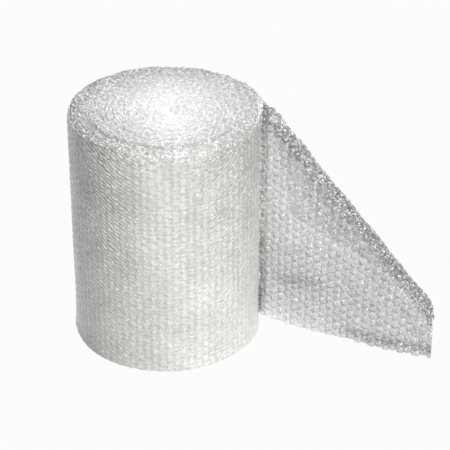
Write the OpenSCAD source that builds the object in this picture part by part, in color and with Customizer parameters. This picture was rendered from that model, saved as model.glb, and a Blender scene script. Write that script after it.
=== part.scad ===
// A coreless roll of bubble film that stands on its end, with the outer end of the film pulled out as a free tail.
// The film is one sheet: its flat face is the outside of the roll, and its bubbles face the roll's axis.
// Millimetres, +Z up. The origin is where the roll's axis meets the surface that the roll stands on.

/* [Roll] */
// Diameter over the outer turn
roll_d = 238; // [170:1:280]
// Width of the film, which is the height of the standing roll
film_w = 300; // [200:10:380]
// Diameter of the eye at the middle, where the film starts
eye_d = 18; // [12:1:40]
// Depth of the dimple that the eye makes in the upper end
eye_depth = 7; // [1:0.5:20]
// Depth of the groove between two turns at either end
groove_depth = 2.4; // [0.8:0.2:4]
// How far the outer film dips between two columns of bubbles
flute_depth = 0.7; // [0.2:0.1:1.5]

/* [Film] */
// Distance between neighbouring bubbles
bubble_pitch = 10.8; // [9.5:0.1:16]
// Height of a bubble above the base film
bubble_h = 3.8; // [2.8:0.1:6]
// Thickness of the base film, drawn thick enough for a solid
film_t = 0.8; // [0.5:0.1:1.5]

/* [Free tail] */
// Angle round the roll at which the film leaves it, from +X
leave_a = 8; // [0:1:20]
// Bend radius of the film where it leaves the roll
leave_r = 25; // [12:1:60]
// Direction in which the film leaves, clockwise from +X
tail_a = 31; // [20:1:45]
// Length of the tail beyond that bend
tail_len = 216; // [150:2:250]
// Radius of the tail's slight bow towards its flat face
bow_r = 1250; // [600:50:4000]

/* [Fallen corner] */
// Height on the tail's end edge at which the fold starts
fold_low_z = 17; // [5:1:60]
// Distance from the roll, along the upper edge, at which the fold starts
fold_high_d = 5; // [2:1:40]
// Angle through which the corner has fallen over
fold_angle = 152; // [100:1:160]
// Radius of the fold at the tail's end edge
fold_low_r = 20; // [12:1:30]
// Radius of the fold at the upper edge
fold_high_r = 5; // [4:0.5:10]

/* [Hidden] */

// Length of an arc of radius 1 over one degree
rad = PI / 180;

roll_r = roll_d / 2;
eye_r = eye_d / 2;
sheet_t = film_t + bubble_h;

// Turns of film, and the step that they make along the radius
turns = round((roll_r - eye_r) / sheet_t);
turn_t = (roll_r - eye_r) / turns;

// Bubbles sit in close-packed columns that run up the film. Odd columns are half a bubble higher, and start and end
// with a bubble that is cut in half by the film's edge.
rows = round(film_w / bubble_pitch);
row_t = film_w / rows;
column_t = bubble_pitch * sqrt(3) / 2;

// Columns round the outer turn, each drawn as one crest and one dip of the outer film
side_columns = round(2 * PI * roll_r / column_t);
// How far short of a full turn the outer film stops, so that the tail's bubbles come out of the gap
weld_a = 3;
side_last = 2 * side_columns;

// Flats that each turn has at the ends of the roll. The half keeps those of neighbouring turns from lining up.
flats = 27.5;
first_turn = ceil(flats);
last_ridge = floor(turns * flats);
last_groove = last_ridge - first_turn;

// Plan of the tail: headings are anticlockwise from +X, and distances run along the film from where it leaves
leave_heading = leave_a - 90;
leave_len = leave_r * (-tail_a - leave_heading) * rad;
free_len = leave_len + tail_len;
leave_centre = (roll_r + leave_r) * [cos(leave_a), sin(leave_a)];

function left_of(heading) = [-sin(heading), cos(heading)];
function along(heading) = [cos(heading), sin(heading)];

bow_centre = leave_centre + (bow_r - leave_r) * left_of(-tail_a);

function heading_at(d) =
    d < leave_len ? leave_heading + d / leave_r / rad : -tail_a + (d - leave_len) / bow_r / rad;
function plan_at(d) =
    d < leave_len
        ? leave_centre - leave_r * left_of(heading_at(d))
        : bow_centre - bow_r * left_of(heading_at(d));

// The corner folds over a slim cone. Its rulings all pass through one point beyond the upper edge, so the film bends
// without stretching. Points of the flat film are [distance before the end edge, height].
fold_heading = (heading_at(leave_len) + heading_at(free_len)) / 2;
fold_low = [0, fold_low_z];
fold_high = [fold_high_d - free_len, film_w];
fold_run = norm(fold_low - fold_high);
fold_dir = (fold_low - fold_high) / fold_run;
fold_apex_gap = fold_run * fold_high_r / (fold_low_r - fold_high_r);
fold_apex = fold_high - fold_apex_gap * fold_dir;
cone_a = asin(fold_low_r / (fold_apex_gap + fold_run));
fold_start = -atan2(fold_dir[1], fold_dir[0]);

// Cone axis and the two directions across it, as [along the tail, towards the flat face, up]
start_ruling = [fold_dir[0], 0, fold_dir[1]];
start_across = [-fold_dir[1], 0, fold_dir[0]];
cone_axis = cos(cone_a) * start_ruling + sin(cone_a) * [0, 1, 0];
cone_out = sin(cone_a) * start_ruling - cos(cone_a) * [0, 1, 0];

function cone_ruling(b) = cos(cone_a) * cone_axis + sin(cone_a) * (cos(b) * cone_out + sin(b) * start_across);
function cone_across(b) = cos(b) * start_across - sin(b) * cone_out;
function cone_inward(b) = sin(cone_a) * cone_axis - cos(cone_a) * (cos(b) * cone_out + sin(b) * start_across);

// Where a point of the flat film lies past the start of the fold, as an angle round the apex
function past_fold(p) = fold_start + atan2(p[1] - fold_apex[1], p[0] - fold_apex[0]);
function fold_turned(p) = min(max(past_fold(p), 0) / sin(cone_a), fold_angle);
function beyond_fold(p) = max(past_fold(p) - fold_angle * sin(cone_a), 0);

function folded(p) =
    past_fold(p) <= 0
        ? [p[0], 0, p[1]]
        : [fold_apex[0], 0, fold_apex[1]] + norm(p - fold_apex)
            * (cos(beyond_fold(p)) * cone_ruling(fold_turned(p)) + sin(beyond_fold(p)) * cone_across(fold_turned(p)));
function fold_normal(p) = past_fold(p) <= 0 ? [0, 1, 0] : cone_inward(fold_turned(p));

// A point of the tail at distance d from the roll and height z on the film, sunk by t from the flat face
function turned(v, heading) = concat(v[0] * along(heading) + v[1] * left_of(heading), v[2]);
function tail_point(d, z, t) =
    let (flat = [d - free_len, z])
    concat(plan_at(d), z)
        + turned(folded(flat) - [flat[0], 0, flat[1]], fold_heading)
        - t * turned(fold_normal(flat), heading_at(d));

// A point of the spiral that the flat face makes, a degrees back from where the tail leaves
function spiral_r(a) = roll_r - turn_t * a / 360;
function spiral(a, inset, z) = concat((spiral_r(a) - inset) * along(leave_a + a), z);

// Outer face of the roll: two rows of points, a crest on each column of bubbles and a dip between
function side_point(j, z) =
    spiral(j / side_last * (360 - weld_a), j % 2 == 0 ? 0 : flute_depth, z);
side_points = [for (j = [0 : side_last], z = [0, film_w]) side_point(j, z)];
function side_i(j, top) = 2 * j + top;

// Ends of the roll: edges of the film as ridges, and the gaps between turns as grooves
function end_z(top, depth) = top == 1 ? film_w - depth : depth;
function end_points(top) = concat(
    [for (n = [first_turn : last_ridge]) spiral(n * 360 / flats, 0, end_z(top, 0))],
    [for (n = [0 : last_groove]) spiral(n * 360 / flats, turn_t / 2, end_z(top, groove_depth))],
    [[0, 0, top == 1 ? film_w - eye_depth : 0]]
);
end_count = last_ridge - first_turn + last_groove + 3;
end_base = 2 * (side_last + 1);
function ridge_i(n, top) = end_base + top * end_count + n - first_turn;
function groove_i(n, top) = ridge_i(last_ridge + 1 + n, top);
function eye_i(top) = groove_i(last_groove + 1, top);

// Flat face of the tail, as a plain grid
flat_columns = round(free_len / column_t);
flat_rows = round(rows / 2);
flat_points = [
    for (i = [1 : flat_columns], k = [0 : flat_rows])
        tail_point(free_len * i / flat_columns, film_w * k / flat_rows, 0)
];
flat_base = end_base + 2 * end_count;
function flat_i(i, k) = flat_base + (i - 1) * (flat_rows + 1) + k;

// Bubble face of the tail. Each bubble is a peak inside six hollows. Points lie on lines up the film, three lines to a
// column of bubbles, and each line has a point at every other half row. The first and last line have one at each.
weld_d = roll_r * weld_a * rad;
tail_columns = round((free_len - weld_d) / column_t);
last_line = 3 * tail_columns;
last_half = 2 * rows;

function is_rim(m) = m == 0 || m == last_line;
function has_point(m, i) = m >= 0 && m <= last_line && i >= 0 && i <= last_half;
function is_peak(m, i) = m % 3 == 0 && (m + i) % 2 == 1;
function bubble_point(m, i) =
    tail_point(
        weld_d + (free_len - weld_d) * m / last_line,
        i * row_t / 2,
        is_peak(m, i) ? sheet_t : film_t
    );
bubble_points = [
    for (m = [0 : last_line], i = [0 : last_half])
        if (is_rim(m) || (m + i) % 2 == 1) bubble_point(m, i)
];
bubble_base = flat_base + len(flat_points);
function bubble_i(m, i) =
    bubble_base + (m == 0 ? i : last_half + 1 + (m - 1) * rows + floor(m / 2) + (is_rim(m) ? i : floor(i / 2)));

// Triangles between two rows of points, from their first points to their last
function zip_steps(a, b, i = 0, k = 0) =
    i == len(a) - 1 && k == len(b) - 1
        ? []
        : k == len(b) - 1 || (i < len(a) - 1 && (i + 1) * (len(b) - 1) <= (k + 1) * (len(a) - 1))
            ? concat([[a[i], b[k], a[i + 1]]], zip_steps(a, b, i + 1, k))
            : concat([[a[i], b[k], b[k + 1]]], zip_steps(a, b, i, k + 1));
function facing(faces, top) = top == 1 ? faces : [for (f = faces) [f[0], f[2], f[1]]];

side_faces = [
    for (j = [0 : side_last - 1])
        each zip_steps([side_i(j + 1, 0), side_i(j + 1, 1)], [side_i(j, 0), side_i(j, 1)])
];

function outer_ridge(top) = concat([for (j = [0 : side_last]) side_i(j, top)], [ridge_i(first_turn, top)]);
function end_faces(top) = concat(
    zip_steps(outer_ridge(top), [for (n = [0 : first_turn]) groove_i(n, top)]),
    [
        for (n = [first_turn : last_groove - 1])
            each zip_steps([ridge_i(n, top), ridge_i(n + 1, top)], [groove_i(n, top), groove_i(n + 1, top)])
    ],
    [
        for (n = [0 : last_groove - 1])
            each zip_steps(
                [groove_i(n, top), groove_i(n + 1, top)],
                [ridge_i(n + first_turn, top), ridge_i(n + first_turn + 1, top)]
            )
    ],
    [for (n = [last_groove : last_ridge - 1]) [ridge_i(n, top), eye_i(top), ridge_i(n + 1, top)]],
    [[ridge_i(last_ridge, top), eye_i(top), groove_i(last_groove, top)]],
    [[groove_i(last_groove, top), eye_i(top), ridge_i(last_groove, top)]],
    [[side_i(0, top), ridge_i(first_turn, top), groove_i(0, top)]]
);

function flat_line(i) = [for (k = [0 : flat_rows]) flat_i(i, k)];
flat_faces = concat(
    zip_steps([side_i(0, 0), side_i(0, 1)], flat_line(1)),
    [for (i = [1 : flat_columns - 1]) each zip_steps(flat_line(i), flat_line(i + 1))]
);

inner_ring = [[2, 0], [1, 1], [-1, 1], [-2, 0], [-1, -1], [1, -1]];
rim_ring = [[2, 0], [1, 1], [0, 1], [-1, 1], [-2, 0], [-1, -1], [0, -1], [1, -1]];
function bubble_fan(m, i, ring) = [
    for (k = [0 : len(ring) - 1])
        let (a = ring[k], b = ring[(k + 1) % len(ring)])
        if (has_point(m + a[0], i + a[1]) && has_point(m + b[0], i + b[1]))
            [bubble_i(m, i), bubble_i(m + b[0], i + b[1]), bubble_i(m + a[0], i + a[1])]
];
bubble_faces = [
    for (m = [0 : 3 : last_line], i = [0 : last_half])
        if (is_peak(m, i)) each bubble_fan(m, i, is_rim(m) ? rim_ring : inner_ring)
];

// The film's edges: where it comes out of the roll, its upper and lower edge, and its cut end
function rim_line(m) = [for (i = [0 : last_half]) bubble_i(m, i)];
weld_faces = zip_steps(rim_line(0), [side_i(side_last, 0), side_i(side_last, 1)]);
cut_faces = zip_steps(flat_line(flat_columns), rim_line(last_line));
function film_edge(top) = zip_steps(
    concat(
        [ridge_i(first_turn, top), side_i(side_last, top)],
        [for (m = [0 : last_line]) if (is_rim(m) || m % 2 == 1) bubble_i(m, top * last_half)]
    ),
    concat([side_i(0, top)], [for (i = [1 : flat_columns]) flat_i(i, top * flat_rows)])
);

module bubble_wrap() {
    color("gainsboro")
        polyhedron(
            points = concat(side_points, end_points(0), end_points(1), flat_points, bubble_points),
            faces = concat(
                side_faces,
                facing(end_faces(0), 0),
                facing(end_faces(1), 1),
                flat_faces,
                bubble_faces,
                weld_faces,
                cut_faces,
                facing(film_edge(0), 0),
                facing(film_edge(1), 1)
            ),
            convexity = 10
        );
}

bubble_wrap();
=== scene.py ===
"""Roll of bubble film with a free tail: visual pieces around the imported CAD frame.

The outer turn shows the film's flat face, with the bubbles under it as shallow discs. The tail shows true bubbles on
the face towards the camera and the discs on the other. Both ends of the roll show the edges of all the turns. Lengths
are in metres, and angles are in radians where no comment says degrees.
"""

import math

import bpy
import numpy as np
from mathutils import Matrix, Vector


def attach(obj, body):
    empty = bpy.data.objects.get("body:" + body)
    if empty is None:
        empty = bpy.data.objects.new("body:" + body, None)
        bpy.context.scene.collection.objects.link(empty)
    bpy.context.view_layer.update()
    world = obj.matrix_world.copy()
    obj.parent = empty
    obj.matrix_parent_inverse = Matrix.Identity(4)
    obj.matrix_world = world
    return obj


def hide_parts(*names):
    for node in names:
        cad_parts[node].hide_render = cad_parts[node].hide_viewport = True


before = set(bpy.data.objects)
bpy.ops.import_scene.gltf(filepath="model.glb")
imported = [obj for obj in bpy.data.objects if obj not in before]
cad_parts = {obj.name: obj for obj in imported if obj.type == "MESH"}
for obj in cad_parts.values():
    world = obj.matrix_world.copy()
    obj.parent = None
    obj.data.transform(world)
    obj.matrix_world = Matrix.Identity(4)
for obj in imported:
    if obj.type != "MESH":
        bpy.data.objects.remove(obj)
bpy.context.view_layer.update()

NODE = "bubble_wrap"
BODY = "root"
SEED = 20417

# ---- Camera, as fitted to the photograph, with its angles in degrees ----
CAMERA_AT = (0.0, -1.8371, 1.2518)
CAMERA_DOWN = 31.2164
CAMERA_YAW = 2.2399
CAMERA_ROLL = 0.1766
LENS = 138.70
SENSOR = 36.0
CLIP_START, CLIP_END = 0.05, 50


def make_camera():
    down, yaw, roll = (math.radians(a) for a in (CAMERA_DOWN, CAMERA_YAW, CAMERA_ROLL))
    ahead = Vector((math.sin(yaw) * math.cos(down), math.cos(yaw) * math.cos(down), -math.sin(down)))
    right = Vector((math.cos(yaw), -math.sin(yaw), 0))
    up = right.cross(ahead)
    right, up = (
        math.cos(roll) * right + math.sin(roll) * up,
        math.cos(roll) * up - math.sin(roll) * right,
    )
    data = bpy.data.cameras.new("camera")
    data.lens = LENS
    data.sensor_width = SENSOR
    data.clip_start, data.clip_end = CLIP_START, CLIP_END
    camera = bpy.data.objects.new("camera", data)
    camera.matrix_world = Matrix(
        [[right[i], up[i], -ahead[i], CAMERA_AT[i]] for i in range(3)] + [[0, 0, 0, 1]]
    )
    bpy.context.scene.collection.objects.link(camera)
    bpy.context.scene.camera = camera


# ---- Sizes of the film, as in the part's source ----
ROLL_R = 0.119
FILM_W = 0.300
EYE_R = 0.009
PITCH = 0.0108
BUBBLE_H = 0.0038
SHEET_T = 0.0046
TURNS = round((ROLL_R - EYE_R) / SHEET_T)
TURN_T = (ROLL_R - EYE_R) / TURNS
ROWS = round(FILM_W / PITCH)
ROW_T = FILM_W / ROWS
COLUMN_T = PITCH * math.sqrt(3) / 2
SIDE_COLUMNS = round(2 * math.pi * ROLL_R / COLUMN_T)

LEAVE_A = math.radians(8)
LEAVE_R = 0.025
TAIL_A = math.radians(31)
TAIL_LEN = 0.216
BOW_R = 1.250
LEAVE_HEADING = LEAVE_A - math.pi / 2
LEAVE_LEN = LEAVE_R * (-TAIL_A - LEAVE_HEADING)
FREE_LEN = LEAVE_LEN + TAIL_LEN

FOLD_LOW = np.array([0.0, 0.017])
FOLD_HIGH = np.array([0.005 - FREE_LEN, FILM_W])
FOLD_A = math.radians(152)
FOLD_LOW_R = 0.020
FOLD_HIGH_R = 0.005

# ---- Sizes that only the visual pieces have ----
BUBBLE_R = 0.00475
FILM_T = 0.0006
EYE_DEPTH = 0.006
# The outer turn goes a little further round than a full circle, under the film that leaves it
SIDE_A = 2 * math.pi + math.radians(2)
# How far the film stands off near its top, where it leaves the roll, and the height and reach of that slack
LOOSE = 0.0035
LOOSE_FROM, LOOSE_H = 0.20, 0.10
LOOSE_ROUND = 0.6
LOOSE_ALONG = ([0, 0.018, 0.045], [LOOSE, -0.003, 0])
# The fold's outline bows outwards in the middle, and is drawn in near its lower end
FOLD_BOW = 0.0036
FOLD_TUCK = 0.0042
TUCK_AT, TUCK_W = 0.94, 0.035
BOW_REACH = 0.06

rng = np.random.default_rng(SEED)


# ---- Soft steps and paths ----
def rise(x, start, width):
    """0 up to start, then straight up to 1 over the width."""
    return np.clip((x - start) / width, 0, 1)


def fall(x, width, level=1.0):
    """Straight down from a level at 0, by 1 over the width, kept between 0 and 1."""
    return np.clip(level - x / width, 0, 1)


def hill(x, centre, width):
    """A soft hump of height 1."""
    return np.exp(-(((x - centre) / width) ** 2))


def left_of(h):
    return np.stack([-np.sin(h), np.cos(h)], -1)


def along(h):
    return np.stack([np.cos(h), np.sin(h)], -1)


def turn_r(a):
    """Radius of the spiral that the film's flat face makes, at an angle back from where the tail leaves."""
    return ROLL_R - TURN_T * a / (2 * math.pi)


LEAVE_CENTRE = (ROLL_R + LEAVE_R) * along(LEAVE_A)
BOW_CENTRE = LEAVE_CENTRE + (BOW_R - LEAVE_R) * left_of(-TAIL_A)


def heading_at(d):
    """Heading of the tail in plan, d along the film from where it leaves the roll."""
    return np.where(d < LEAVE_LEN, LEAVE_HEADING + d / LEAVE_R, -TAIL_A + (d - LEAVE_LEN) / BOW_R)


def plan_at(d):
    sideways = left_of(heading_at(d))
    near = (d < LEAVE_LEN)[..., None]
    return np.where(near, LEAVE_CENTRE - LEAVE_R * sideways, BOW_CENTRE - BOW_R * sideways)


# The fallen corner bends over a slim cone. Cone directions are [along the tail, towards the flat face, up].
FOLD_HEADING = (-TAIL_A + float(heading_at(np.array(FREE_LEN)))) / 2
FOLD_RUN = np.linalg.norm(FOLD_LOW - FOLD_HIGH)
FOLD_DIR = (FOLD_LOW - FOLD_HIGH) / FOLD_RUN
APEX_GAP = FOLD_RUN * FOLD_HIGH_R / (FOLD_LOW_R - FOLD_HIGH_R)
APEX = FOLD_HIGH - APEX_GAP * FOLD_DIR
CONE_A = math.asin(FOLD_LOW_R / (APEX_GAP + FOLD_RUN))
FOLD_START = -math.atan2(FOLD_DIR[1], FOLD_DIR[0])
START_RULING = np.array([FOLD_DIR[0], 0, FOLD_DIR[1]])
START_ACROSS = np.array([-FOLD_DIR[1], 0, FOLD_DIR[0]])
FLAT_SIDE = np.array([0.0, 1.0, 0.0])
CONE_AXIS = math.cos(CONE_A) * START_RULING + math.sin(CONE_A) * FLAT_SIDE
CONE_OUT = math.sin(CONE_A) * START_RULING - math.cos(CONE_A) * FLAT_SIDE


def about_apex(p):
    """How far points of the flat film lie from the cone's apex, and their angle past the fold line."""
    q = p - APEX
    return np.linalg.norm(q, axis=1), FOLD_START + np.arctan2(q[:, 1], q[:, 0])


def upright(p):
    return np.stack([p[:, 0], np.zeros(len(p)), p[:, 1]], 1)


def folded(p):
    """Where points of the flat film lie once the corner has fallen, and the direction towards the flat face there."""
    reach, past = about_apex(p)
    turned = np.clip(past / math.sin(CONE_A), 0, FOLD_A)
    beyond = np.maximum(past - FOLD_A * math.sin(CONE_A), 0)
    c, s = np.cos(turned)[:, None], np.sin(turned)[:, None]
    ruling = math.cos(CONE_A) * CONE_AXIS + math.sin(CONE_A) * (c * CONE_OUT + s * START_ACROSS)
    across = c * START_ACROSS - s * CONE_OUT
    inward = math.sin(CONE_A) * CONE_AXIS - math.cos(CONE_A) * (c * CONE_OUT + s * START_ACROSS)
    bent = np.array([APEX[0], 0, APEX[1]]) + reach[:, None] * (
        np.cos(beyond)[:, None] * ruling + np.sin(beyond)[:, None] * across
    )
    over = (past > 0)[:, None]
    return np.where(over, bent, upright(p)), np.where(over, inward, FLAT_SIDE)


def turned_to(v, heading):
    """Cone directions, turned so that the first lies along a heading."""
    across = v[:, :1] * along(heading) + v[:, 1:2] * left_of(heading)
    return np.concatenate([across, v[:, 2:]], 1)


def tail_points(d, z, sunk):
    """Points of the tail, d along the film from where it leaves the roll, z up the film, sunk from its flat face."""
    flat = np.stack([d - FREE_LEN, z], 1)
    bent, normal = folded(flat)
    shift = bent - upright(flat)
    heading = heading_at(d)
    swell = np.interp(d, *LOOSE_ALONG) * rise(z, LOOSE_FROM, LOOSE_H)
    reach, past = about_apex(flat)
    inside = -reach * past
    run = (reach - APEX_GAP) / FOLD_RUN
    bow = FOLD_BOW * np.sin(math.pi * np.clip(run, 0, 1)) - FOLD_TUCK * hill(run, TUCK_AT, TUCK_W)
    bow = bow * fall(inside, BOW_REACH)
    out = bow[:, None] * np.array([-FOLD_DIR[1], FOLD_DIR[0]])
    base = plan_at(d) + swell[:, None] * left_of(heading) + out[:, :1] * along(heading)
    base = np.concatenate([base, z[:, None] + out[:, 1:]], 1)
    return base + turned_to(shift, np.full(len(d), FOLD_HEADING)) - sunk[:, None] * turned_to(normal, heading)


# ---- Slow waves, for film that doesn't lie quite true ----
def waves(points, shortest, longest, count, seed):
    """Smooth noise between about -1 and 1 at 2-D points, as a sum of plane waves."""
    draw = np.random.default_rng(seed)
    total = np.zeros(len(points))
    for _ in range(count):
        turn, phase = draw.uniform(0, 2 * math.pi, 2)
        length = draw.uniform(shortest, longest)
        k = 2 * math.pi / length * np.array([math.cos(turn), math.sin(turn)])
        total += np.sin(points @ k + phase)
    return total / math.sqrt(count)


# For each use of the waves: the shortest and longest wave, how many, and the seed
SIDE_SLOW = (0.05, 0.2, 10, SEED + 1)
SIDE_MOTTLE = (0.03, 0.12, 14, SEED + 3)
RIM_DIPS = (0.02, 0.1, 8, SEED + 2)
END_HEIGHTS = (0.01, 0.05, 12, SEED + 7)
END_MOTTLE = (0.004, 0.012, 24, SEED + 8)
END_BRISTLES = (0.004, 0.011, 24, SEED + 9)
END_WOBBLES = [(0.006, 0.016, 24, SEED + 10 + k) for k in range(2)]
TAIL_SAG = (0.045, 0.12, 12, SEED + 11)
TAIL_STRAY = [(0.014, 0.035, 24, SEED + 12 + k) for k in range(2)]


# ---- Lattice of bubbles on flat film ----
def lattice(columns, column_t, sides, rings):
    """Vertices and faces of a flat lattice of bubbles. Each bubble is a fan of rings inside a hexagonal cell, and the
    film's four edges cut the cells along their middle.

    rings holds each ring's share of the bubble's radius. Returns u along the film, v up it, the ring of each vertex
    (0 is the crown, the last is the cell's edge), its bubble, the faces and the number of bubbles."""
    u, v, ring_of, bubble_of, faces = [], [], [], [], []
    edge = {}
    quarter = sides // 4
    bubble = 0

    def add(at_u, at_v, ring):
        u.append(at_u)
        v.append(at_v)
        ring_of.append(ring)
        bubble_of.append(bubble)
        return len(u) - 1

    for c in range(columns + 1):
        odd = c % 2
        for k in range(ROWS + odd):
            cu, cv = c * column_t, (k + (0 if odd else 0.5)) * ROW_T
            start, stop = 0, sides
            if odd and k == 0:
                stop = 2 * quarter
            if odd and k == ROWS:
                start = 2 * quarter
            if c == 0:
                start, stop = -quarter, quarter
            if c == columns:
                start, stop = max(start, quarter), min(stop, 3 * quarter)
            whole = stop - start == sides
            angles = [2 * math.pi * s / sides for s in range(start, stop + (0 if whole else 1))]
            crown = add(cu, cv, 0)
            rows = [
                [add(cu + share * BUBBLE_R * math.cos(a), cv + share * BUBBLE_R * math.sin(a), r) for a in angles]
                for r, share in enumerate(rings, 1)
            ]
            row = []
            for a in angles:
                turn = (a - math.pi / 6) % (math.pi / 3)
                reach = math.cos(math.pi / 6) / math.cos(min(turn, math.pi / 3 - turn))
                eu = cu + reach * math.cos(a) * 2 / 3 * column_t
                ev = cv + reach * math.sin(a) / math.sqrt(3) * ROW_T
                key = (round(eu * 1e6), round(ev * 1e6))
                if key not in edge:
                    edge[key] = add(eu, ev, len(rings) + 1)
                row.append(edge[key])
            rows.append(row)
            count = len(angles)
            for s in range(count if whole else count - 1):
                t = (s + 1) % count
                faces.append((crown, rows[0][s], rows[0][t]))
                for inner, outer in zip(rows, rows[1:]):
                    faces.append((inner[s], outer[s], outer[t], inner[t]))
            bubble += 1
    return np.array(u), np.array(v), np.array(ring_of), np.array(bubble_of), faces, bubble


def strip(a, a_at, b, b_at):
    """Triangles between two rows of vertices, stepping along both by where they lie."""
    a, b = [a[i] for i in np.argsort(a_at, kind="stable")], [b[i] for i in np.argsort(b_at, kind="stable")]
    a_at, b_at = np.sort(a_at), np.sort(b_at)
    faces, i, k = [], 0, 0
    while i < len(a) - 1 or k < len(b) - 1:
        if k == len(b) - 1 or (i < len(a) - 1 and a_at[i + 1] <= b_at[k + 1]):
            faces.append((a[i], a[i + 1], b[k]))
            i += 1
        else:
            faces.append((a[i], b[k + 1], b[k]))
            k += 1
    return faces


def add_piece(name, points, faces, material, sheet=None, **values):
    """A mesh piece. Its vertices keep the values that the material reads: lift (0 between bubbles, 1 on a crown), tone
    (tenths lighter or darker, much of it painted light and shade), spark (share of white specks, painted highlights),
    veil (how much the film hides) and, in sheet, the lattice's column and row and how strongly the painted slanting
    lines lean (below 0 one way, above 0 the other)."""
    mesh = bpy.data.meshes.new(name)
    mesh.from_pydata([tuple(p) for p in points], [], faces)
    mesh.validate()
    for key, numbers in values.items():
        layer = mesh.attributes.new(key, "FLOAT", "POINT")
        layer.data.foreach_set("value", np.asarray(numbers, np.float32))
    if sheet is not None:
        layer = mesh.attributes.new("sheet", "FLOAT_VECTOR", "POINT")
        layer.data.foreach_set("vector", np.asarray(sheet, np.float32).ravel())
    mesh.polygons.foreach_set("use_smooth", np.ones(len(mesh.polygons), bool))
    mesh.update()
    piece = bpy.data.objects.new(name, mesh)
    bpy.context.scene.collection.objects.link(piece)
    mesh.materials.append(material)
    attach(piece, BODY)
    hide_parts(NODE)


# ---- Material of the film ----
COAT = {"Coat Weight": 0.4, "Coat Roughness": 0.1, "Coat IOR": 1.5}
# Noise and cell sizes, as a scale per metre
FACET_SCALE, SHEER_FACET_SCALE = 300, 450
GRAIN_SCALE = 330
CLOUD_SCALE = 22
WOBBLE_SCALE = 60
DASH_SCALE = 140
SPECK_SCALE = 430
SHEEN_SCALE = 160
CRINKLE_SCALE = 420
# The range that most of a noise lies in, and the tones that clouds and dashes give it
LOW, HIGH = 0.3, 0.7
CLOUDS = [(LOW, 0.96), (HIGH, 1.0)]
DASHES = [(0.35, 0.25), (0.6, 1.0)]
# A speck by the distance from its middle, in cells
SPECK = [(0.0, 1.0), (0.4, 1.0), (0.6, 0.0)]
# Share of the specks' cells that a spark of 1 turns white, as painted highlights, and, on sheer film, dark
WHITE_SHARE, DARK_SHARE = 0.20, 0.14
DARKENING = -0.4
TONE_STEP = 0.1
RUNG_WOBBLE = 0.5
NOISE_ROUGHNESS = 0.6
LESS_ROUGH, MORE_ROUGH = 0.7, 1.4
FACET_HIDES, SPECK_HIDES = 0.4, 0.6


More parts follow.
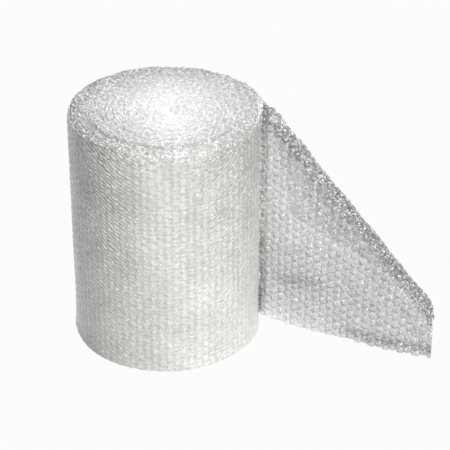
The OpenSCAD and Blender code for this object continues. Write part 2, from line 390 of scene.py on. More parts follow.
def film_material(name, tones, tint, grain, speck, rough, crinkle, stripes=0.0, streaks=0.0, sheer=False):
    """Milky polyethylene film. tones pairs a lift, from 0 between bubbles to 1 on a crown, with the tone there. Its
    white specks are painted highlights, and much of its tone is painted light and shade.
    """
    material = bpy.data.materials.new(name)
    material.use_nodes = True
    tree = material.node_tree
    nodes, links = tree.nodes, tree.links
    shader = nodes["Principled BSDF"]
    for key, number in COAT.items():
        shader.inputs[key].default_value = number

    def node(kind, **settings):
        made = nodes.new(kind)
        for key, value in settings.items():
            setattr(made, key, value)
        return made

    def attribute(key):
        return node("ShaderNodeAttribute", attribute_name=key).outputs["Fac"]

    def calc(operation, *values, clamp=False):
        made = node("ShaderNodeMath", operation=operation, use_clamp=clamp)
        for socket, value in zip(made.inputs, values):
            if isinstance(value, (int, float)):
                socket.default_value = value
            else:
                links.new(value, socket)
        return made.outputs[0]

    def scaled(value, factor, strength):
        """The value times 1 + factor x strength."""
        return calc("MULTIPLY", value, calc("MULTIPLY_ADD", factor, strength, 1.0))

    def ramp(value, stops):
        made = node("ShaderNodeValToRGB")
        while len(made.color_ramp.elements) < len(stops):
            made.color_ramp.elements.new(0.5)
        for element, (place, tone) in zip(made.color_ramp.elements, stops):
            element.position = place
            element.color = (tone, tone, tone, 1)
        links.new(value, made.inputs[0])
        return made.outputs[0]

    place = node("ShaderNodeTexCoord").outputs["Object"]

    def noise(scale, detail):
        made = node("ShaderNodeTexNoise")
        made.inputs["Scale"].default_value = scale
        made.inputs["Detail"].default_value = detail
        made.inputs["Roughness"].default_value = NOISE_ROUGHNESS
        links.new(place, made.inputs["Vector"])
        return made.outputs["Fac"]

    def cells(scale):
        """Cells of a size, as the distance from a cell's middle and two random values of the cell."""
        made = node("ShaderNodeTexVoronoi", feature="F1")
        made.inputs["Scale"].default_value = scale
        links.new(place, made.inputs["Vector"])
        channels = node("ShaderNodeSeparateColor")
        links.new(made.outputs["Color"], channels.inputs[0])
        return made.outputs["Distance"], channels.outputs[0], channels.outputs[1]

    # Tone by lift: crowns and hollows are painted lighter and darker, a painted highlight and painted shade
    value = ramp(attribute("lift"), tones)
    # Grain: small facets of film, each a little lighter or darker
    facet = calc("SUBTRACT", cells(SHEER_FACET_SCALE if sheer else FACET_SCALE)[1], 0.5)
    value = scaled(value, facet, calc("MULTIPLY_ADD", attribute("spark"), 2 * grain, grain))
    value = calc("MULTIPLY", value, ramp(noise(GRAIN_SCALE, 1.5), [(LOW, 1 - grain), (0.5, 1.0), (HIGH, 1 + grain)]))
    value = calc("MULTIPLY", value, ramp(noise(CLOUD_SCALE, 2.0), CLOUDS))
    value = scaled(value, attribute("tone"), TONE_STEP)
    if stripes or streaks:
        # Columns and rows of bubbles seen through the film, and the slanting lines that neighbouring columns make,
        # which are painted light and shade of the bubbles behind, leaning one way on the roll's -X side and the other
        # way on its +X side
        sheet = node("ShaderNodeSeparateXYZ")
        links.new(node("ShaderNodeAttribute", attribute_name="sheet").outputs["Vector"], sheet.inputs[0])
        column, row, lean = sheet.outputs
        wobble = calc("SUBTRACT", noise(WOBBLE_SCALE, 2.0), 0.5)
        dashes = ramp(noise(DASH_SCALE, 1.0), DASHES)
        value = scaled(value, calc("COSINE", calc("MULTIPLY", column, 2 * math.pi)), stripes)
        rung = calc("ADD", row, calc("MULTIPLY", wobble, RUNG_WOBBLE))
        rung = calc("COSINE", calc("MULTIPLY", rung, 4 * math.pi))
        value = scaled(value, calc("MULTIPLY", rung, dashes), stripes)
        for way in (1, -1):
            phase = calc("ADD", calc("MULTIPLY_ADD", column, 0.5 * way, row), wobble)
            line = calc("COSINE", calc("MULTIPLY", phase, 4 * math.pi))
            share = calc("MULTIPLY", calc("MULTIPLY", lean, -way, clamp=True), calc("MULTIPLY", dashes, streaks))
            value = scaled(value, line, share)
    # Painted highlights: white specks, where a fold of the film catches the light
    near, _, other = cells(SPECK_SCALE)
    chosen = calc("GREATER_THAN", other, calc("MULTIPLY_ADD", attribute("spark"), -WHITE_SHARE, 1.0))
    spot = calc("MULTIPLY", chosen, ramp(near, SPECK))
    if sheer:
        dark = calc("LESS_THAN", other, calc("MULTIPLY", attribute("spark"), DARK_SHARE))
        value = scaled(value, dark, DARKENING)
    value = calc("MULTIPLY_ADD", spot, speck, value, clamp=True)
    painted = node("ShaderNodeMix", data_type="RGBA", blend_type="MULTIPLY")
    painted.inputs["Factor"].default_value = 1.0
    painted.inputs["B"].default_value = (*tint, 1)
    links.new(value, painted.inputs["A"])
    links.new(painted.outputs["Result"], shader.inputs["Base Color"])
    sheen = ramp(noise(SHEEN_SCALE, 2.0), [(LOW, rough * LESS_ROUGH), (HIGH, rough * MORE_ROUGH)])
    links.new(sheen, shader.inputs["Roughness"])
    bump = node("ShaderNodeBump")
    bump.inputs["Strength"].default_value = 1.0
    bump.inputs["Distance"].default_value = crinkle
    links.new(noise(CRINKLE_SCALE, 2.5), bump.inputs["Height"])
    links.new(bump.outputs["Normal"], shader.inputs["Normal"])
    if sheer:
        hides = calc("MULTIPLY_ADD", facet, FACET_HIDES, attribute("veil"))
        links.new(calc("MULTIPLY_ADD", spot, SPECK_HIDES, hides, clamp=True), shader.inputs["Alpha"])
    return material


WARM = (0.99, 1.0, 0.95)
NEUTRAL = (1.0, 0.992, 0.975)
CLEAR = (1.0, 1.0, 0.98)
# On the side and the ends the crowns are painted lighter and the hollows darker: painted highlight and painted shade.
# On the tail the crowns are darker and the film between them lighter, a painted light against the shade between the
# bubbles.
SIDE_FILM = film_material(
    "side_film",
    tones=[(0.0, 0.74), (0.5, 0.75), (1.0, 0.77)],
    tint=WARM,
    grain=0.13,
    speck=0.35,
    rough=0.30,
    crinkle=0.0008,
    stripes=0.06,
    streaks=0.55,
)
END_FILM = film_material(
    "end_film",
    tones=[(0.0, 0.78), (0.5, 0.82), (1.0, 0.87)],
    tint=CLEAR,
    grain=0.14,
    speck=0.48,
    rough=0.30,
    crinkle=0.0012,
)
TAIL_FILM = film_material(
    "tail_film",
    tones=[(0.0, 0.64), (0.1, 0.61), (0.6, 0.58), (1.0, 0.54)],
    tint=NEUTRAL,
    grain=0.40,
    speck=0.60,
    rough=0.24,
    crinkle=0.0022,
    sheer=True,
)

# ---- The outer turn ----
# Lean is -1 on the roll's -X side and 1 on its +X side. Each pair of lists is a value's course over lean or height.
SIDE_SIDES = 12
SIDE_RINGS = (0.5, 0.82, 0.99)
SIDE_BULGE = np.array([1.0, 0.80, 0.42, 0.12, 0.0])
SIDE_LIFT = np.array([1.0, 0.7, 0.2, 0.0, 0.25])
# Relief of the side: the discs, how much they differ, its roughness and its slow waves
PILLOW = 0.0004
UNLIKE = 0.15
ROUGH = 0.00008
SLOW = 0.0004
# The film draws in over the last part below its upper edge, and spreads at its foot
SHOULDER = 0.012
SHOULDER_IN = 0.0015
FOOT_H = 0.014
FOOT_OUT = 0.0012
RIM_H = 0.020
RIM_DROP, RIM_DIP = 0.0003, 0.0008
LIP_IN = 0.0016
LIP_STEP = 0.0006
LIP_LIFT = 0.3
# Tone of the outer turn. The mottle and slack are the film's own; the rest is painted light and shade: darker near the
# rim, against the light that the shoulder catches; lighter low down and darker high up, a painted light off the floor,
# more towards the sides and most on the +X side; darker on the -X side, away from the key light; and lighter at the +X
# edge beside the slot, against the slot's shade. TONE_LOW makes it darker along the bottom towards both sides, most on
# -X.
TONE_MOTTLE, TONE_SLACK, TONE_RIM = 0.4, 0.1, -1.0
TONE_UP = ([0.0, 0.05, 0.12, 0.20, 0.28], [1.8, 1.2, 0.2, -1.0, -2.0])
TONE_UP_SHARE = ([0.2, 0.8], [0.3, 1.0])
TONE_UP_RIGHT = 1.6
TONE_LEFT = ([-1, -0.8, -0.65, -0.5, -0.3, -0.1], [-2.8, -1.8, -0.9, -0.8, -0.5, 0])
TONE_RIGHT = ([0.75, 0.88, 0.95, 0.985], [0.0, 0.2, 1.6, 3.2])
TONE_LOW = ([-0.8, -0.4, -0.2, 0.2, 0.6], [-2.2, -0.8, 0.0, 0.0, -0.7])
LOW_H = 0.045
# White specks, painted highlights: more higher up towards the sides, most on the -X side, and more near the rim
SPARK, SPARK_ROUND, SPARK_RIGHT, SPARK_RIM = 0.15, 1.2, 0.7, 0.9
SPARK_UP = ([0.08, 0.20], [0.4, 1.0])
# Strength of the painted slanting lines, round the roll and up it
LINES_ROUND = ([-0.6, -0.15, 0.25, 0.6, 0.8, 0.97], [-1.0, 0.0, 0.0, 0.45, 0.35, 0.0])
LINES_UP = ([0.0, 0.12, 0.22], [0.35, 0.6, 1.0])
# Vertices this close to an edge of the film lie on it
ON_EDGE = 1e-7


def rim_drop(a):
    """How far the upper edge of the outer turn lies below the film's width, round the roll."""
    return RIM_DROP + RIM_DIP * waves(np.stack([a * ROLL_R, 0 * a], 1), *RIM_DIPS)


def looseness(a, v):
    """How far the outer turn stands off the roll near its top, just before the film leaves it."""
    return LOOSE * np.exp(-a / LOOSE_ROUND) * rise(v, LOOSE_FROM, LOOSE_H)


def shoulder_at(v):
    return rise(v, FILM_W - SHOULDER, SHOULDER)


def build_outer_turn():
    column_t = SIDE_A * ROLL_R / SIDE_COLUMNS
    u, v, ring, bubble, faces, count = lattice(SIDE_COLUMNS, column_t, SIDE_SIDES, SIDE_RINGS)
    flat = np.stack([u, v], 1)
    a = u / ROLL_R
    slack = rng.normal(0, 1, count)[bubble]
    jitter = rng.normal(0, 1, len(u))
    inner = (ring > 0) & (ring <= len(SIDE_RINGS))
    inset = PILLOW * (1 - SIDE_BULGE[ring] * (1 + UNLIKE * slack)) + ROUGH * jitter * inner
    shoulder = shoulder_at(v)
    foot = np.clip((FOOT_H - v) / FOOT_H, 0, 1)
    inset = inset + SHOULDER_IN * shoulder**2 - FOOT_OUT * foot
    r = turn_r(a) - inset + SLOW * waves(flat, *SIDE_SLOW) + looseness(a, v)
    where = LEAVE_A + a
    points = np.stack([r * np.cos(where), r * np.sin(where), v - shoulder * rim_drop(a)], 1)

    lean = np.sin(where + math.pi / 2)
    side = np.abs(lean)
    near_rim = rise(v, FILM_W - RIM_H, RIM_H)
    # Tone: the film's mottle and slack, then the painted light and shade set out above; spark: painted highlights
    tone = TONE_MOTTLE * waves(flat, *SIDE_MOTTLE) + TONE_SLACK * slack + TONE_RIM * near_rim**2
    tone += np.interp(v, *TONE_UP) * np.interp(side, *TONE_UP_SHARE) * np.where(lean > 0, TONE_UP_RIGHT, 1.0)
    tone += np.interp(lean, *TONE_LEFT) + np.interp(lean, *TONE_RIGHT)
    tone += np.clip((LOW_H - v) / LOW_H, 0, 1) * np.interp(lean, *TONE_LOW)
    spark = SPARK + SPARK_ROUND * np.interp(v, *SPARK_UP) * side**2 * np.where(lean < 0, 1.0, SPARK_RIGHT)
    spark += SPARK_RIM * near_rim
    lines = np.interp(lean, *LINES_ROUND) * np.interp(v, *LINES_UP)
    sheet = np.stack([u / column_t, v / ROW_T, lines], 1)
    lift = SIDE_LIFT[ring]
    # A lip inside each edge, down to the next turn
    for edge_v, step in ((0.0, LIP_STEP), (FILM_W, -LIP_STEP)):
        rim = np.where(np.abs(v - edge_v) < ON_EDGE)[0]
        rim = rim[np.argsort(u[rim])]
        lip = points[rim]
        lip_r = np.linalg.norm(lip[:, :2], axis=1)
        lip[:, :2] *= ((lip_r - LIP_IN) / lip_r)[:, None]
        lip[:, 2] += step
        first = len(points)
        points = np.concatenate([points, lip])
        lift, tone = np.append(lift, np.full(len(rim), LIP_LIFT)), np.append(tone, tone[rim])
        spark, sheet = np.append(spark, spark[rim]), np.concatenate([sheet, sheet[rim]])
        for i in range(len(rim) - 1):
            faces.append((rim[i], rim[i + 1], first + i + 1, first + i))
    add_piece("outer_turn", points, faces, SIDE_FILM, sheet, lift=lift, tone=tone, spark=spark)


# ---- The ends of the roll ----
END_STEP = 0.0016
END_INNER_R = 0.0035
LEAST_R = 0.0006
# The ribbon's cross-section, as distances inwards from a turn's flat face: down its outside, over its edge, then over
# its bubbles to the next turn
ACROSS = np.array([0.0003, 0.0001, 0.0005, 0.0012, 0.0021, 0.0030, 0.0039, TURN_T + 0.0003])
OUTSIDE, EDGE_LAST, NEXT_TURN = 0, 2, len(ACROSS) - 1
EDGE_T = 0.0005
BUBBLE_CURVE = 2.2
END_SPREAD = 0.10
OUTSIDE_DEPTH = 0.004
GROOVE_DEPTH = 0.0010
NEXT_DEPTH = GROOVE_DEPTH + 0.0006
CUT_DEPTH = 0.0012
WALL_DEPTH = 0.0004
WALL_T = 0.0011
WANDER = 0.0007
UNEVEN = 0.0006
# The unevenness changes along a turn, per radian, and from one turn to the next
UNEVEN_ROUND, UNEVEN_TURN = 0.02, 0.01
BRISTLE = 0.0004
BRISTLE_OUTER = 0.0005
# The outer turns lie a step lower at the front
STEP_AT = 0.77
STEP_SOFT = 0.01
STEP_H = 0.0010
FRONT_SLOPE = 3
# The outermost film lies a little inside the outer turn's rim
OUTER_IN = SHOULDER_IN + 0.0006
# Lift of the film's edges, its sheet and its bubbles over the sheet, less where they lie deeper; the end's material
# paints lower lift darker, a painted shade in the grooves
LIFT_EDGE, LIFT_SHEET, LIFT_BUBBLE = 0.8, 0.4, 0.5
# Strength of each tone. The patches are the film's own; the rest is painted light and shade: light in the middle and
# greyer outwards, a painted shade line along the step, and the light's fall over X and Y. TONE_EYE lightens the eye, a
# painted light against its shade.
END_TONE, TONE_PATCHES = 0.4, 0.8
TONE_OUTWARDS, TONE_FROM, TONE_CURVE = -4.2, 0.25, 1.2
TONE_ARC, ARC_W = -2.0, 0.012
TONE_NEAR, TONE_NEAREST = -1.2, 2.6
TONE_WEST, TONE_WEST_RIM, WEST_RIM_FROM = -2.0, -1.8, 0.75
TONE_FAR = -1.6
TONE_EYE = 3.0
# White specks, painted highlights: more towards the rim, most on its -X side
RIMWARD_FROM = 0.6
END_SPARK, SPARK_RIMWARD, SPARK_WEST = 0.2, 0.8, 1.3


def bubble_depths(rho, off, cut, size):
    """How far below the roll's end the bubbles lie at a distance rho from the flat face. off is how far along the film
    the nearest column of bubbles is, and cut says where the film's edge cuts that column's bubble in half."""
    height = np.clip((rho - EDGE_T) / (BUBBLE_H * size), 0, 1)
    reach = BUBBLE_R * np.sqrt(np.clip(1 - height**BUBBLE_CURVE, 0, 1))
    half = np.sqrt(np.clip(reach**2 - off**2, 0, None))
    inside = np.abs(off) < reach
    whole_depth = np.where(inside, ROW_T / 2 - half, GROOVE_DEPTH)
    wall = np.abs(np.abs(off) - reach) < WALL_T
    cut_depth = np.where(wall, WALL_DEPTH, np.where(inside, CUT_DEPTH, GROOVE_DEPTH))
    return np.where(cut, cut_depth, np.minimum(whole_depth, GROOVE_DEPTH))


def build_end(name, top):
    """Edges of all the turns as one long ribbon. Its cross-section runs from one turn's film to the next turn's."""
    angles = [0.0]
    while turn_r(angles[-1]) >= END_INNER_R:
        angles.append(angles[-1] + END_STEP / turn_r(angles[-1]))
    a = np.array(angles)
    r0 = turn_r(a)
    # 1 on the rim, 0 from two turns further in
    outer = np.clip(1 - (ROLL_R - r0) / (2 * TURN_T), 0, 1)
    s = (ROLL_R * a - TURN_T * a**2 / (4 * math.pi)) / COLUMN_T
    column = np.round(s)
    off = (s - column) * COLUMN_T
    draw = np.random.default_rng(SEED + (5 if top else 6))
    size = draw.normal(1, END_SPREAD, int(column.max()) + 2)[column.astype(int)]
    depth = np.zeros((len(a), len(ACROSS)))
    lift = np.full_like(depth, LIFT_EDGE)
    depth[:, OUTSIDE], lift[:, OUTSIDE] = OUTSIDE_DEPTH, LIFT_SHEET
    for k in range(EDGE_LAST + 1, len(ACROSS)):
        depth[:, k] = NEXT_DEPTH if k == NEXT_TURN else bubble_depths(ACROSS[k], off, column % 2 == 1, size)
        lift[:, k] = LIFT_SHEET + LIFT_BUBBLE * np.clip(1 - depth[:, k] / GROOVE_DEPTH, 0, 1)

    r = (r0 - outer * OUTER_IN)[:, None] - ACROSS[None, :]
    r = r + looseness(a, FILM_W if top else 0.0)[:, None] * np.clip(1 - ACROSS / TURN_T, 0, 1)
    r = np.maximum(r, LEAST_R)
    where = (LEAVE_A + a)[:, None] * np.ones_like(r)
    flat = np.stack([r * np.cos(where), r * np.sin(where)], -1)
    wobble = [waves(flat.reshape(-1, 2), *settings).reshape(r.shape) for settings in END_WOBBLES]
    flat = flat + WANDER * np.stack(wobble, -1) * (1 - outer)[:, None, None]
    bristle = waves(flat.reshape(-1, 2), *END_BRISTLES).reshape(depth.shape)
    if top:
        uneven = waves(np.stack([a * UNEVEN_ROUND, a / (2 * math.pi) * UNEVEN_TURN], 1), *END_HEIGHTS)
        drop = UNEVEN * uneven * (1 - outer) + rim_drop(a) * outer
        rough = (BRISTLE + BRISTLE_OUTER * r0 / ROLL_R)[:, None] * bristle
        front = np.clip(-FRONT_SLOPE * flat[..., 1] / ROLL_R, 0, 1)
        stepped = STEP_H * rise(np.linalg.norm(flat, axis=-1) / ROLL_R, STEP_AT, STEP_SOFT) * front
        depth = depth + (drop[:, None] + rough + stepped * (1 - outer)[:, None])
    else:
        depth = depth + BRISTLE * (1 + bristle)
    depth = depth + EYE_DEPTH * np.clip(1 - r / EYE_R, 0, 1)
    z = FILM_W - depth if top else np.maximum(depth, 0)
    points = np.concatenate([flat, z[..., None]], -1).reshape(-1, 3)

    n = len(ACROSS)
    faces = []
    for i in range(len(a) - 1):
        for k in range(n - 1):
            p, q = i * n + k, (i + 1) * n + k
            faces.append((p, q, q + 1, p + 1) if top else (p, p + 1, q + 1, q))
    # The eye's middle
    hub = len(points)
    deepest = FILM_W - EYE_DEPTH - GROOVE_DEPTH if top else EYE_DEPTH + GROOVE_DEPTH
    points = np.concatenate([points, [[0, 0, deepest]]])
    turn = int(np.searchsorted(a, a[-1] - 2 * math.pi))
    for i in range(turn, len(a) - 1):
        p, q = i * n + n - 1, (i + 1) * n + n - 1
        faces.append((p, q, hub) if top else (p, hub, q))
    stop = list(range((len(a) - 1) * n, len(a) * n)) + [hub]
    for p, q in zip(stop, stop[1:]):
        faces.append((p, turn * n + n - 1, q) if top else (p, q, turn * n + n - 1))

    x, y = points[:, 0] / ROLL_R, points[:, 1] / ROLL_R
    rim = np.hypot(x, y)
    west, near, far = np.clip(-x, 0, 1), np.clip(-y, 0, 1), np.clip(y, 0, 1)
    # Painted light and shade, as set out with the tones above, and painted highlights in the spark
    tone = TONE_PATCHES * waves(points[:, :2], *END_MOTTLE) + END_TONE
    tone += TONE_OUTWARDS * rise(rim, TONE_FROM, 1 - TONE_FROM) ** TONE_CURVE
    tone += TONE_ARC * hill(rim, STEP_AT, ARC_W) * np.clip(-FRONT_SLOPE * y, 0, 1)
    tone += TONE_NEAR * near + TONE_NEAREST * near**4 + TONE_FAR * far**2
    tone += TONE_WEST * west + TONE_WEST_RIM * rise(rim, WEST_RIM_FROM, 1 - WEST_RIM_FROM) * west**3
    tone += TONE_EYE * np.clip(1 - rim * ROLL_R / EYE_R, 0, 1)
    rimward = rise(rim, RIMWARD_FROM, 1 - RIMWARD_FROM)
    spark = END_SPARK + SPARK_RIMWARD * rimward + SPARK_WEST * rimward * west
    add_piece(name, points, faces, END_FILM, lift=np.append(lift.reshape(-1), 0.5), tone=tone, spark=spark)


# ---- The free tail ----
TAIL_SIDES, FLAT_SIDES = 24, 12
TAIL_RINGS, FLAT_RINGS = (0.46, 0.76, 0.94, 1.0), (0.9,)
BUBBLE_PROFILE = np.array([1.0, 0.99, 0.94, 0.60, 0.0, 0.0])
BUBBLE_VEIL = np.array([0.42, 0.42, 0.41, 0.37, 0.35, 0.38])
FLAT_RAISED = np.array([0.00035, 0.0003, 0.0])
FLAT_LIFT = np.array([1.0, 0.85, 0.0])
FLAT_VEIL = np.array([0.50, 0.50, 0.52])
# Bubbles are pressed flatter along the fold, and a few have gone limp
PRESSED, PRESSED_W, PRESSED_FROM = 0.6, 0.008, (0.03, 0.05)
SIZE_SPREAD = 0.07
SIZE_RANGE = (0.7, 1.12)
LIMP_SHARE = 0.05
LIMP_RANGE = (0.45, 0.8)
UNEVEN_SKIN = 0.05
SAG = 0.0011
STRAY = 0.0007
FREE_FROM = 0.03
# How far round the cone its outline lies, as seen by the camera, and how much of the film beyond the bend is seen
CREST_A = 2.1
BEYOND = 0.8
# What each place on the tail adds to its tone, its specks and how much it hides. PLAIN is what all of it starts from.
# Among them the painted light and shade: the band along the fold is partly painted shade, the line inside the fold's
# outline carries painted highlights, the foot is partly painted light, the strip above the lower edge is a painted
# shadow, and the dent and the crease take painted shade. The specks are painted highlights.
PLACES = {
    # Darker along the fold, where more film lies behind, with painted shade over it
    "band": (-4.5, 0.7, 0.6),
    # A dark line just inside the fold's outline, with more white specks as painted highlights
    "inner_line": (-2.0, 0.8, 0.0),
    # Painted light at the foot, where the film is also more see-through
    "foot": (2.0, 0.3, -0.6),
    # A painted shadow just above the lower edge, on the half towards the cut end
    "hem_shadow": (-2.8, 0.6, 0.4),
    # The painted shade of a dent
    "dent_shade": (-1.9, 0.0, 0.3),
    # The crease beside the roll hides a little more; its painted shade is set below
    "crease": (0.0, 0.0, 0.2),
    "upper": (1.2, 0.0, -0.15),
    "over": (1.5, 0.0, -0.15),
}
PLAIN = (0.7, 0.38, 1.0)
# Where each place lies: along the film (U), up it (V), or in from the fold. A rise has a start and a width, a hill a
# middle and a width, and a fall a width and at times a level.
BAND_IN = ([0.0, 0.011, 0.016, 0.028, 0.040], [1.0, 1.0, 0.3, 0.1, 0.0])
INNER_LINE_IN, INNER_LINE_U = (0.0040, 0.0014), (0.05, 0.04)
FOOT_U, FOOT_V = (0.14, 1.2), 0.034
HEM_U, HEM_V = (0.11, 0.03), (0.012, 0.006)
DENT_U, DENT_V, DENT_W, DENT_SLOPE = (0.068, 0.032), 0.070, 0.011, 0.2
CREASE_U, CREASE_V = 0.025, (0.11, 1.2)
UPPER_V = (0.10, 0.08)
# The fallen corner's two edges show through the tail. Each has a slope and a start.
OVER_U, OVER_V, OVER_W, OVER_IN = (0.22, 0.080), (0.39, 0.172), 0.004, 0.01
# START places the painted shade on the film near where it leaves the roll, and MOUTH the painted light at the slot's
# mouth
START_U, START_OUT = (0.03, 1.8), (0.004, 0.008)
MOUTH_U, MOUTH_V = 0.010, (0.05, 0.08)
# Painted shade of the crease and its most, painted shade near where the film leaves and its extra at the top, the
# darkest that the tail's painted shade may go, and the painted light at the slot's mouth
CREASE_TONE, CREASE_MOST = 7.0, 4.5
START_TONE, START_UPPER = 1.0, 2.0
DARKEST = -4.2
MOUTH_TONE = 3.5
FALLEN_TONE, FALLEN_VEIL = 1.5, 0.38
SAG_TONE, SIZE_TONE = 0.5, 0.2
FLAT_START_VEIL, FLAT_START_U = 0.3, (0.012, 1.3)
# The wall of bubbles behind the slot, with its angles in degrees from where the film leaves. Its tone rises up the
# wall, a painted light against the slot's shade, and its specks are painted highlights.
WALL_A, LID_FROM, LID_TO, LID_STEPS = -3.4, -2.8, 2.0, 6
WALL_FOOT, WALL_GAP = 0.001, 0.0012
WALL_OUT, WALL_IN = 0.0008, 0.0004
WALL_SPARK = 0.5
WALL_TONE = ([0.02, 0.10, 0.20], [-1.0, 4.5, 8.0])


def from_fold(u, v):
    """For points of the flat film: the angle past the fold line, how far inside it they are, and how far in from the
    folded film's outline they end up."""
    reach, past = about_apex(np.stack([u - FREE_LEN, v], 1))
    bend_r = math.sin(CONE_A) * reach
    s = CREST_A * bend_r - past * reach
    bend = bend_r * math.pi / 2
    return past, -past * reach, np.where(s < bend, bend_r * (1 - np.cos(s / bend_r)), bend_r + BEYOND * (s - bend))


def tail_look(u, v, slot):
    """Tone, share of specks and veil: greyer along the fold, where more film lies behind and painted shade lies over
    it, and lighter at the foot, a painted light. The specks are painted highlights. slot is 1 on the face that closes
    the slot beside the roll, which is dark inside; only that face takes the painted shade in the crease and near the
    roll."""
    past, inside, across = from_fold(u, v)
    over_u = rise(u + OVER_U[0] * v, OVER_U[1], OVER_W)
    over_v = rise(v + OVER_V[0] * u, OVER_V[1], OVER_W)
    dent_v = v - DENT_V - DENT_SLOPE * (u - DENT_U[0])
    at = {
        "band": np.interp(across, *BAND_IN),
        "inner_line": hill(across, *INNER_LINE_IN) * rise(u, *INNER_LINE_U),
        "foot": fall(v, FOOT_V) * fall(u, *FOOT_U),
        "hem_shadow": hill(v, *HEM_V) * rise(u, *HEM_U),
        "dent_shade": hill(u, *DENT_U) * hill(dent_v, 0.0, DENT_W),
        "crease": slot * fall(u, CREASE_U) * fall(v, *CREASE_V),
        "upper": rise(v, *UPPER_V),
        "over": over_u * over_v * rise(inside, 0.0, OVER_IN),
    }
    tone, spark, veil = (plain + sum(PLACES[k][i] * at[k] for k in PLACES) for i, plain in enumerate(PLAIN))
    start = slot * fall(u, *START_U) * rise(u, *START_OUT)
    # Painted shade in the crease beside the roll, and on the film near where it leaves the roll, most at the top, none
    # of it darker than DARKEST; then painted light at the slot's mouth, on both faces
    tone = tone - np.minimum(CREASE_TONE * at["crease"], CREASE_MOST)
    tone = tone - start * (START_TONE + START_UPPER * at["upper"]) * (1 - at["band"])
    mouth = fall(u, MOUTH_U) * rise(v, *MOUTH_V)
    fallen = past > FOLD_A * math.sin(CONE_A)
    tone = np.maximum(tone, DARKEST) + MOUTH_TONE * mouth + FALLEN_TONE * fallen
    return tone, spark, veil * np.where(fallen, FALLEN_VEIL, 1.0)


def tail_sag(u, v):
    return waves(np.stack([u, v], 1), *TAIL_SAG)


def build_tail():
    columns = round(FREE_LEN / COLUMN_T)
    column_t = FREE_LEN / columns
    u, v, ring, bubble, faces, count = lattice(columns, column_t, TAIL_SIDES, TAIL_RINGS)
    pressed = PRESSED * fall(from_fold(u, v)[2], PRESSED_W) * rise(u, *PRESSED_FROM)
    height = BUBBLE_PROFILE[ring] * (1 - pressed)
    size = np.clip(rng.normal(1.0, SIZE_SPREAD, count), *SIZE_RANGE)
    limp = rng.random(count) < LIMP_SHARE
    size = np.where(limp, size * rng.uniform(*LIMP_RANGE, count), size)[bubble]
    uneven = 1 + UNEVEN_SKIN * rng.normal(0, 1, len(u)) * (ring > 0) * (ring < len(TAIL_RINGS))
    sag = tail_sag(u, v)
    free = np.clip(u / FREE_FROM, 0, 1)
    sunk = FILM_T + (SHEET_T - FILM_T) * height * size * uneven - SAG * sag * free
    stray = [waves(np.stack([u, v], 1), *settings) for settings in TAIL_STRAY]
    bubbles = tail_points(u + STRAY * stray[0] * free, v + STRAY * stray[1] * free, sunk)
    # The flat face, on a coarser lattice with the same cells
    flat_u, flat_v, flat_ring, _, flat_faces, _ = lattice(columns, column_t, FLAT_SIDES, FLAT_RINGS)
    flat_sag = tail_sag(flat_u, flat_v)
    flat_free = np.clip(flat_u / FREE_FROM, 0, 1)
    flats = tail_points(flat_u, flat_v, -FLAT_RAISED[flat_ring] * flat_free - SAG * flat_sag * flat_free)
    base = len(bubbles)
    points = np.concatenate([bubbles, flats])
    points[:, 2] = np.maximum(points[:, 2], 0)
    faces = [tuple(reversed(f)) for f in faces]
    faces += [tuple(base + i for i in f) for f in flat_faces]

    tone, spark, veil = tail_look(u, v, 1.0)
    tone = tone + SIZE_TONE * (size - 1) / SIZE_SPREAD
    flat_tone, flat_spark, flat_veil = tail_look(flat_u, flat_v, 0.0)
    lift = np.concatenate([height, FLAT_LIFT[flat_ring]])
    tone = np.concatenate([SAG_TONE * sag + tone, SAG_TONE * flat_sag + flat_tone])
    spark = np.concatenate([spark, flat_spark])
    flat_veil = FLAT_VEIL[flat_ring] * flat_veil + FLAT_START_VEIL * fall(flat_u, *FLAT_START_U)
    veil = np.concatenate([BUBBLE_VEIL[ring] * veil, flat_veil])
    # The film's lower, upper and cut edge
    for hits, flat_hits, by, flat_by in (
        (v < ON_EDGE, flat_v < ON_EDGE, u, flat_u),
        (v > FILM_W - ON_EDGE, flat_v > FILM_W - ON_EDGE, u, flat_u),
        (u > FREE_LEN - ON_EDGE, flat_u > FREE_LEN - ON_EDGE, v, flat_v),
    ):
        ours, theirs = np.where(hits)[0], np.where(flat_hits)[0]
        faces += strip(list(ours), by[ours], list(base + theirs), flat_by[theirs])
    # Bubbles of the turn behind, in the slot where the film leaves the roll: up the slot, then back under its top
    lid = FILM_W - WALL_GAP
    heights = np.append(np.linspace(WALL_FOOT, lid, 2 * ROWS), np.full(LID_STEPS, lid))
    turns = np.append(np.full(2 * ROWS, WALL_A), np.linspace(LID_FROM, LID_TO, LID_STEPS))
    way = along(LEAVE_A + np.radians(turns))
    first = len(points)
    for r in (ROLL_R + WALL_OUT, ROLL_R - TURN_T - WALL_IN - SHOULDER_IN * shoulder_at(heights) ** 2):
        points = np.concatenate([points, np.column_stack([way * np.reshape(r, (-1, 1)), heights])])
    for i in range(first, first + len(heights) - 1):
        faces.append((i, i + 1, i + len(heights) + 1, i + len(heights)))
    row = np.ones(2 * len(heights))
    lift, spark, veil = (np.append(a, k * row) for a, k in ((lift, 1.0), (spark, WALL_SPARK), (veil, 1.0)))
    # Painted light, rising up the wall, against the slot's shade
    tone = np.append(tone, np.interp(np.tile(heights, 2), *WALL_TONE))
    add_piece("tail", points, faces, TAIL_FILM, lift=lift, tone=tone, spark=spark, veil=veil)


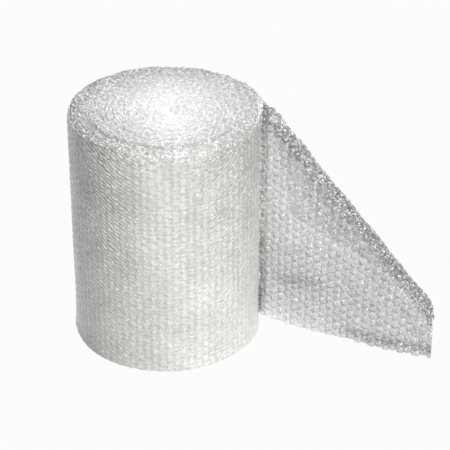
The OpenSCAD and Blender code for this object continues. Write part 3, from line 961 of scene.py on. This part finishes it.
# ---- Floor, backdrop and light ----
FLOOR_SIZE = 6.0
FLOOR_BELOW = 0.0002
FLOOR_GREY = 0.38
FLOOR_ROUGH, FLOOR_SHINE = 0.9, 0.1
FLOOR_WHITE = 0.96
WORLD_LIGHT = 0.15
LIGHT_SIZE = 0.8
LIGHT_AIM = (0.05, 0.0, 0.15)
LIGHTS = (
    ("key", (0.72, -1.85, 1.75), 62),
    ("top", (0.0, 0.6, 2.4), 8),
    ("back", (0.5, 2.0, 0.75), 13),
    ("left", (-1.6, 1.1, 0.8), 10),
)


def math_node(tree, operation, first, second):
    made = tree.nodes.new("ShaderNodeMath")
    made.operation = operation
    tree.links.new(first, made.inputs[0])
    if isinstance(second, float):
        made.inputs[1].default_value = second
    else:
        tree.links.new(second, made.inputs[1])
    return made.outputs[0]


def background_ray(tree):
    """1 for the rays that see a plain white background: the camera's, and those off gloss or through the film."""
    rays = tree.nodes.new("ShaderNodeLightPath").outputs
    either = math_node(tree, "MAXIMUM", rays["Is Camera Ray"], rays["Is Glossy Ray"])
    return math_node(tree, "MAXIMUM", either, rays["Is Transmission Ray"])


def mix_to(tree, share, plain, white, output):
    mix = tree.nodes.new("ShaderNodeMixShader")
    tree.links.new(share, mix.inputs["Fac"])
    tree.links.new(plain.outputs[0], mix.inputs[1])
    tree.links.new(white.outputs[0], mix.inputs[2])
    tree.links.new(mix.outputs[0], tree.nodes[output].inputs["Surface"])


def make_floor():
    mesh = bpy.data.meshes.new("floor")
    corners = [(x * FLOOR_SIZE, y * FLOOR_SIZE, 0) for x, y in ((-1, -1), (1, -1), (1, 1), (-1, 1))]
    mesh.from_pydata(corners, [], [(0, 1, 2, 3)])
    floor = bpy.data.objects.new("floor", mesh)
    bpy.context.scene.collection.objects.link(floor)
    floor.location.z = -FLOOR_BELOW
    material = bpy.data.materials.new("floor_white")
    material.use_nodes = True
    tree = material.node_tree
    shader = tree.nodes["Principled BSDF"]
    shader.inputs["Base Color"].default_value = (FLOOR_GREY, FLOOR_GREY, FLOOR_GREY, 1)
    shader.inputs["Roughness"].default_value = FLOOR_ROUGH
    shader.inputs["Specular IOR Level"].default_value = FLOOR_SHINE
    glow = tree.nodes.new("ShaderNodeEmission")
    glow.inputs["Strength"].default_value = 1.0
    share = math_node(tree, "MULTIPLY", background_ray(tree), FLOOR_WHITE)
    mix_to(tree, share, shader, glow, "Material Output")
    mesh.materials.append(material)


def make_world():
    world = bpy.data.worlds.new("studio")
    bpy.context.scene.world = world
    world.use_nodes = True
    tree = world.node_tree
    plain, white = tree.nodes["Background"], tree.nodes.new("ShaderNodeBackground")
    for background, strength in ((plain, WORLD_LIGHT), (white, 1.0)):
        background.inputs["Color"].default_value = (1, 1, 1, 1)
        background.inputs["Strength"].default_value = strength
    mix_to(tree, background_ray(tree), plain, white, "World Output")


def area_light(name, at, watts):
    data = bpy.data.lights.new(name, "AREA")
    data.size = LIGHT_SIZE
    data.energy = watts
    lamp = bpy.data.objects.new(name, data)
    bpy.context.scene.collection.objects.link(lamp)
    lamp.location = at
    lamp.rotation_mode = "QUATERNION"
    lamp.rotation_quaternion = (Vector(LIGHT_AIM) - Vector(at)).to_track_quat("-Z", "Y")


make_camera()
build_outer_turn()
build_end("upper_end", True)
build_end("lower_end", False)
build_tail()
make_floor()
make_world()
for light in LIGHTS:
    area_light(*light)

bpy.context.scene.view_settings.view_transform = "Standard"
